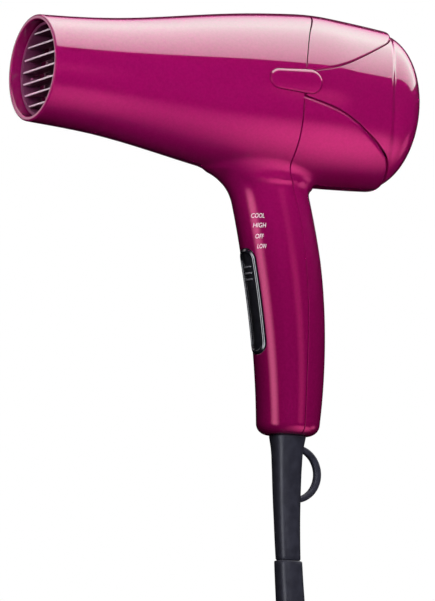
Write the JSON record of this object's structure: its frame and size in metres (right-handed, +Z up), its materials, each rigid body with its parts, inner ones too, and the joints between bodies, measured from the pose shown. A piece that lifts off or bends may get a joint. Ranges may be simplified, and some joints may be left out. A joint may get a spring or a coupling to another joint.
{
  "type": "hair dryer",
  "caption": "Handheld hair dryer with a flared barrel, rear intake cap, slide switch, hanging ring and a coiled cord ending in a safety plug.",
  "frame": {"origin": "middle of the hand grip, on the mid-plane; the barrel's axis is 108 mm above it", "axes": "+Z up along the grip towards the barrel, +X to the rear, from the nozzle to the air intake, +Y to the left of someone who faces the nozzle"},
  "size_m": [0.2062, 0.085, 0.4923],
  "materials": {
    "magenta_shell": "metallic gloss",
    "black_plastic": "satin",
    "heat_resistant_plastic": "satin",
    "charcoal_rubber": "satin",
    "charcoal_plastic": "satin",
    "white_plastic": "satin",
    "red_plastic": "satin",
    "mica": "layered sheet",
    "ceramic": "unglazed",
    "circuit_board": "lacquered",
    "steel": "zinc plated",
    "heating_wire": "oxidised",
    "brass": "plain"
  },
  "bodies": {
    "housing": {"front_housing": "magenta_shell", "rear_housing": "magenta_shell", "side_badge_left": "magenta_shell", "side_badge_right": "magenta_shell", "housing_screw_upper": "steel", "housing_screw_lower": "steel", "switch_bezel": "black_plastic", "switch_body": "charcoal_plastic", "outlet_grille": "heat_resistant_plastic", "heater_liner": "mica", "heater_board_upright": "mica", "heater_board_level": "mica", "heating_coil_outer": "heating_wire", "heating_coil_inner": "heating_wire", "thermostat": "brass", "thermal_fuse": "ceramic", "fan_duct": "heat_resistant_plastic", "motor_can": "steel", "rectifier_board": "circuit_board", "wire_live": "charcoal_rubber", "wire_neutral": "white_plastic", "strain_relief": "charcoal_rubber", "cord_clamp": "white_plastic", "clamp_screw_left": "steel", "clamp_screw_right": "steel", "cord_sleeve": "charcoal_rubber", "cord_inside": "charcoal_rubber", "power_cord": "charcoal_rubber", "power_cord_coil": "charcoal_rubber", "power_cord_tail": "charcoal_rubber", "cord_tie": "black_plastic", "plug_strain_relief": "charcoal_rubber", "plug_cover": "charcoal_plastic", "plug_base": "charcoal_plastic", "plug_blade_live": "brass", "plug_blade_neutral": "brass", "plug_board": "circuit_board"},
    "fan_rotor": {"motor_shaft": "steel", "fan_impeller": "black_plastic"},
    "switch": {"switch_slider": "black_plastic", "switch_stem": "white_plastic"},
    "cap": {"intake_cap": "magenta_shell", "lint_screen": "charcoal_plastic"},
    "reset": {"reset_button": "red_plastic"},
    "test": {"test_button": "white_plastic"}
  },
  "joints": [
    {"name": "fan_spin", "type": "hinge", "parent": "housing", "child": "fan_rotor", "pos_m": [0, 0, 0.108], "axis": [1, 0, 0], "continuous": true},
    {"name": "switch_slide", "type": "slide", "parent": "housing", "child": "switch", "axis": [-0.1857, 0, 0.9826], "range_m": [-0.0025, 0.005]},
    {"name": "cap_pull", "type": "slide", "parent": "housing", "child": "cap", "axis": [1, 0, 0], "range_m": [0, 0.04]},
    {"name": "reset_press", "type": "slide", "parent": "housing", "child": "reset", "axis": [0, 1, 0], "range_m": [0, 0.001], "stiffness_N_per_m": 300, "springref_m": -0.001},
    {"name": "test_press", "type": "slide", "parent": "housing", "child": "test", "axis": [0, 1, 0], "range_m": [0, 0.001], "stiffness_N_per_m": 300, "springref_m": -0.001}
  ]
}
